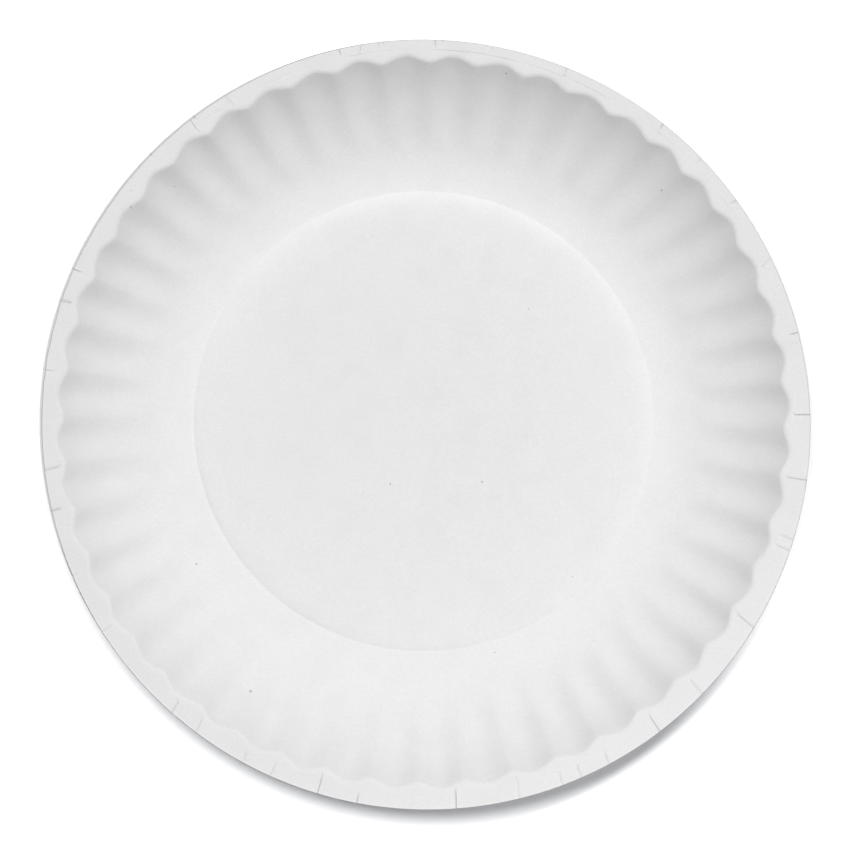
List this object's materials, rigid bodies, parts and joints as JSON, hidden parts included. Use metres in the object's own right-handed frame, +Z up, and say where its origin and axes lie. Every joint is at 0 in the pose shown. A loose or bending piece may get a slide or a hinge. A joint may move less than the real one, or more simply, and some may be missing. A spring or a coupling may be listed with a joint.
{
  "type": "paper plate",
  "caption": "Round white disposable paper plate with a raised flat well, a fluted sloping wall and a flat crimped rim, pressed from one sheet.",
  "frame": {"origin": "on the table under the middle of the plate's outline, at the level of the foot ring", "axes": "+Z up out of the plate; +X towards the right and +Y towards the top of the picture's straight-down view; round the plate the flutes repeat, so X and Y are free"},
  "size_m": [0.1524, 0.1524, 0.016],
  "materials": {
    "white_paper": "matte"
  },
  "bodies": {
    "root": {"plate": "white_paper"}
  },
  "joints": []
}
